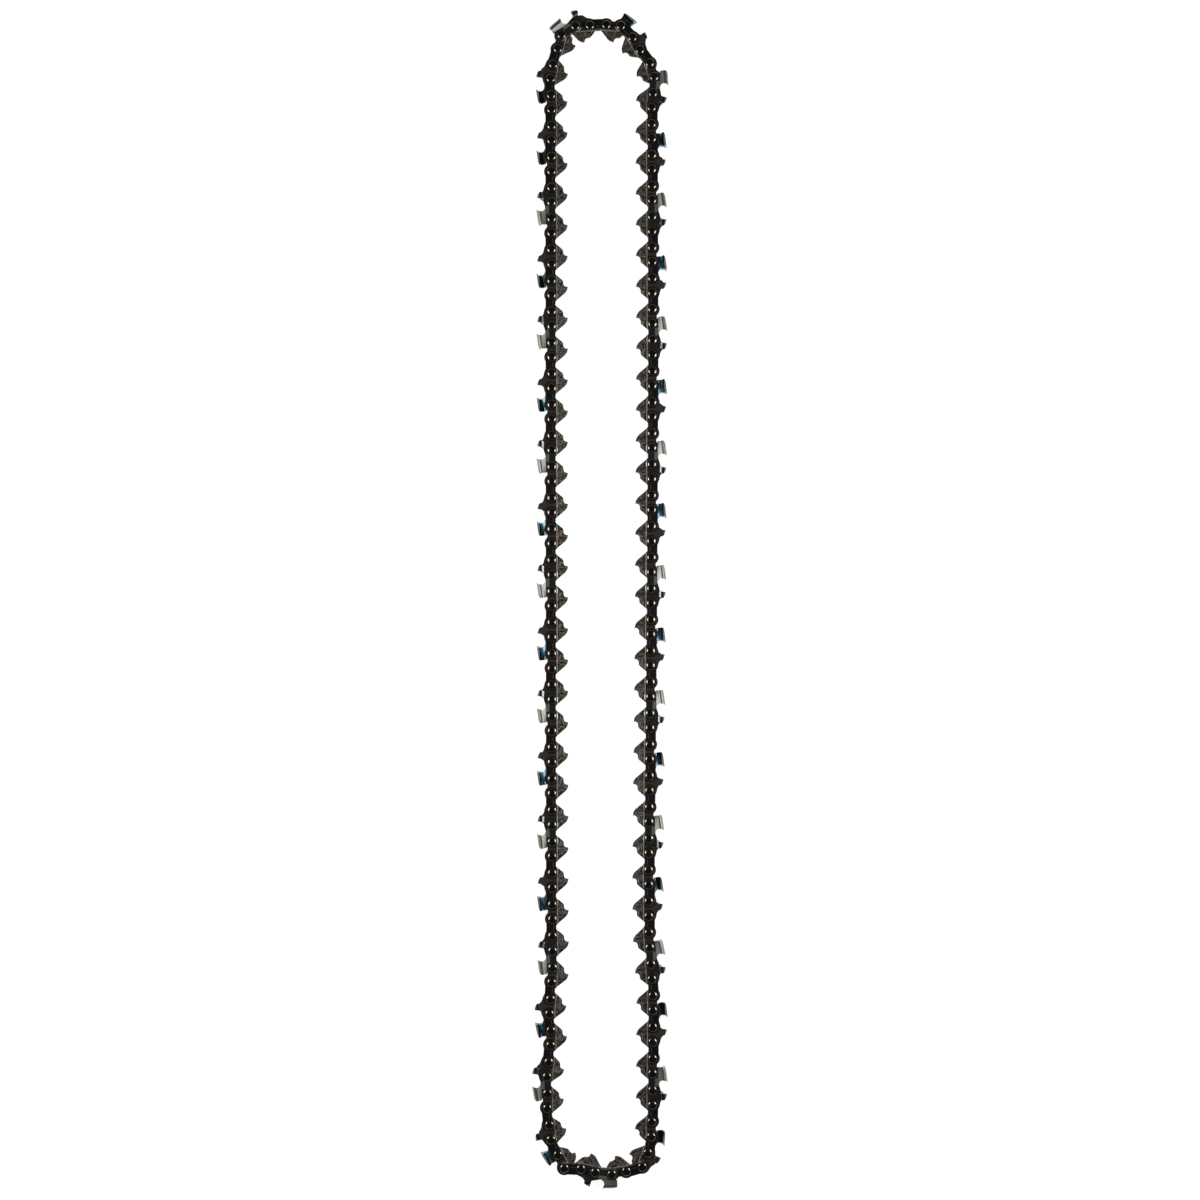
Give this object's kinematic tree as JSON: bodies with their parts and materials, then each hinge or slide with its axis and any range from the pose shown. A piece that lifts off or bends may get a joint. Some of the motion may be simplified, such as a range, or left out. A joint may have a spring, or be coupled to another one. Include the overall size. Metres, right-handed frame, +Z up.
{
  "type": "chainsaw chain loop",
  "caption": "Closed loop of saw chain lying on its side: drive links with hooked tangs, black tie straps, chromed cutters with depth gauges, and rivets that every link turns on.",
  "frame": {"origin": "on the surface that the loop lies on, midway along and across the loop", "axes": "+Y along the long runs towards the rounder end, +X across the loop, +Z up, away from the surface; the chain runs clockwise seen from above"},
  "size_m": [0.0718, 0.6236, 0.0069],
  "materials": {
    "drive_link_steel": "dull stamped steel",
    "strap_steel": "black oxide, oiled",
    "cutter_chrome": "hard chrome outside, blued inside",
    "rivet_steel": "glossy dark brown"
  },
  "bodies": {
    "bottom_1": {"bottom_1_drive_links": "drive_link_steel", "bottom_1_tie_straps": "strap_steel", "bottom_1_cutters": "cutter_chrome", "bottom_1_rivets": "rivet_steel"},
    "bottom_2": {"bottom_2_drive_links": "drive_link_steel", "bottom_2_tie_straps": "strap_steel", "bottom_2_cutters": "cutter_chrome", "bottom_2_rivets": "rivet_steel"},
    "bottom_3": {"bottom_3_drive_links": "drive_link_steel", "bottom_3_tie_straps": "strap_steel", "bottom_3_rivets": "rivet_steel"},
    "bottom_4": {"bottom_4_drive_links": "drive_link_steel", "bottom_4_tie_straps": "strap_steel", "bottom_4_cutters": "cutter_chrome", "bottom_4_rivets": "rivet_steel"},
    "right_1": {"right_1_drive_links": "drive_link_steel", "right_1_tie_straps": "strap_steel", "right_1_cutters": "cutter_chrome", "right_1_rivets": "rivet_steel"},
    "right_2": {"right_2_drive_links": "drive_link_steel", "right_2_tie_straps": "strap_steel", "right_2_cutters": "cutter_chrome", "right_2_rivets": "rivet_steel"},
    "right_3": {"right_3_drive_links": "drive_link_steel", "right_3_tie_straps": "strap_steel", "right_3_cutters": "cutter_chrome", "right_3_rivets": "rivet_steel"},
    "right_4": {"right_4_drive_links": "drive_link_steel", "right_4_tie_straps": "strap_steel", "right_4_cutters": "cutter_chrome", "right_4_rivets": "rivet_steel"},
    "top_1": {"top_1_drive_links": "drive_link_steel", "top_1_tie_straps": "strap_steel", "top_1_cutters": "cutter_chrome", "top_1_rivets": "rivet_steel"},
    "top_2": {"top_2_drive_links": "drive_link_steel", "top_2_tie_straps": "strap_steel", "top_2_cutters": "cutter_chrome", "top_2_rivets": "rivet_steel"},
    "top_3": {"top_3_drive_links": "drive_link_steel", "top_3_tie_straps": "strap_steel", "top_3_rivets": "rivet_steel"},
    "left_1": {"left_1_drive_links": "drive_link_steel", "left_1_tie_straps": "strap_steel", "left_1_cutters": "cutter_chrome", "left_1_rivets": "rivet_steel"},
    "left_2": {"left_2_drive_links": "drive_link_steel", "left_2_tie_straps": "strap_steel", "left_2_cutters": "cutter_chrome", "left_2_rivets": "rivet_steel"},
    "left_3": {"left_3_drive_links": "drive_link_steel", "left_3_tie_straps": "strap_steel", "left_3_cutters": "cutter_chrome", "left_3_rivets": "rivet_steel"},
    "left_4": {"left_4_drive_links": "drive_link_steel", "left_4_tie_straps": "strap_steel", "left_4_cutters": "cutter_chrome", "left_4_rivets": "rivet_steel"}
  },
  "joints": [
    {"name": "bottom_2_bottom_3_rivet", "type": "hinge", "parent": "bottom_2", "child": "bottom_3", "pos_m": [0.00624, -0.30401, 0.00346], "axis": [0, 0, -1], "range_deg": [-1.94, 10.06]},
    {"name": "bottom_3_bottom_4_rivet", "type": "hinge", "parent": "bottom_3", "child": "bottom_4", "pos_m": [0.02231, -0.30027, 0.00346], "axis": [0, 0, -1], "range_deg": [-1.53, 7.93]},
    {"name": "bottom_4_right_1_rivet", "type": "hinge", "parent": "bottom_4", "child": "right_1", "pos_m": [0.02697, -0.28449, 0.00346], "axis": [0, 0, -1], "range_deg": [-1.5, 7.8]},
    {"name": "right_1_right_2_rivet", "type": "hinge", "parent": "right_1", "child": "right_2", "pos_m": [0.0255, -0.14472, 0.00346], "axis": [0, 0, 1], "range_deg": [-2.93, 15.22]},
    {"name": "right_2_right_3_rivet", "type": "hinge", "parent": "right_2", "child": "right_3", "pos_m": [0.02673, -0.00391, 0.00346], "axis": [0, 0, 1], "range_deg": [-2.97, 15.42]},
    {"name": "right_3_right_4_rivet", "type": "hinge", "parent": "right_3", "child": "right_4", "pos_m": [0.02734, 0.13594, 0.00346], "axis": [0, 0, 1], "range_deg": [-3.05, 15.83]},
    {"name": "right_4_top_1_rivet", "type": "hinge", "parent": "right_4", "child": "top_1", "pos_m": [0.02816, 0.2767, 0.00346], "axis": [0, 0, -1], "range_deg": [-2.49, 12.93]},
    {"name": "top_1_top_2_rivet", "type": "hinge", "parent": "top_1", "child": "top_2", "pos_m": [0.01031, 0.30391, 0.00346], "axis": [0, 0, -1], "range_deg": [-2.79, 14.48]},
    {"name": "bottom_2_bottom_1_rivet", "type": "hinge", "parent": "bottom_2", "child": "bottom_1", "pos_m": [-0.01873, -0.30074, 0.00346], "axis": [0, 0, 1], "range_deg": [-1.92, 9.94]},
    {"name": "bottom_1_left_4_rivet", "type": "hinge", "parent": "bottom_1", "child": "left_4", "pos_m": [-0.02577, -0.28581, 0.00346], "axis": [0, 0, 1], "range_deg": [-2.07, 10.75]},
    {"name": "left_4_left_3_rivet", "type": "hinge", "parent": "left_4", "child": "left_3", "pos_m": [-0.02543, -0.14627, 0.00346], "axis": [0, 0, -1], "range_deg": [-2.92, 15.17]},
    {"name": "left_3_left_2_rivet", "type": "hinge", "parent": "left_3", "child": "left_2", "pos_m": [-0.02585, -0.00545, 0.00346], "axis": [0, 0, -1], "range_deg": [-2.99, 15.51]},
    {"name": "left_2_left_1_rivet", "type": "hinge", "parent": "left_2", "child": "left_1", "pos_m": [-0.02626, 0.1344, 0.00346], "axis": [0, 0, -1], "range_deg": [-3.06, 15.9]},
    {"name": "left_1_top_3_rivet", "type": "hinge", "parent": "left_1", "child": "top_3", "pos_m": [-0.02704, 0.27521, 0.00346], "axis": [0, 0, 1], "range_deg": [-2.13, 11.06]}
  ],
  "couplings": [
    {"joint": "bottom_2_bottom_3_rivet", "follows": "bottom_4_right_1_rivet", "ratio": 1.2893},
    {"joint": "bottom_3_bottom_4_rivet", "follows": "bottom_4_right_1_rivet", "ratio": 1.0161},
    {"joint": "right_1_right_2_rivet", "follows": "bottom_4_right_1_rivet", "ratio": 1.9512},
    {"joint": "right_2_right_3_rivet", "follows": "bottom_4_right_1_rivet", "ratio": 1.9758},
    {"joint": "right_3_right_4_rivet", "follows": "bottom_4_right_1_rivet", "ratio": 2.0286},
    {"joint": "right_4_top_1_rivet", "follows": "bottom_4_right_1_rivet", "ratio": 1.6564},
    {"joint": "top_1_top_2_rivet", "follows": "bottom_4_right_1_rivet", "ratio": 1.8552},
    {"joint": "bottom_2_bottom_1_rivet", "follows": "bottom_4_right_1_rivet", "ratio": 1.2739},
    {"joint": "bottom_1_left_4_rivet", "follows": "bottom_4_right_1_rivet", "ratio": 1.3779},
    {"joint": "left_4_left_3_rivet", "follows": "bottom_4_right_1_rivet", "ratio": 1.9444},
    {"joint": "left_3_left_2_rivet", "follows": "bottom_4_right_1_rivet", "ratio": 1.988},
    {"joint": "left_2_left_1_rivet", "follows": "bottom_4_right_1_rivet", "ratio": 2.0381},
    {"joint": "left_1_top_3_rivet", "follows": "bottom_4_right_1_rivet", "ratio": 1.4176}
  ]
}
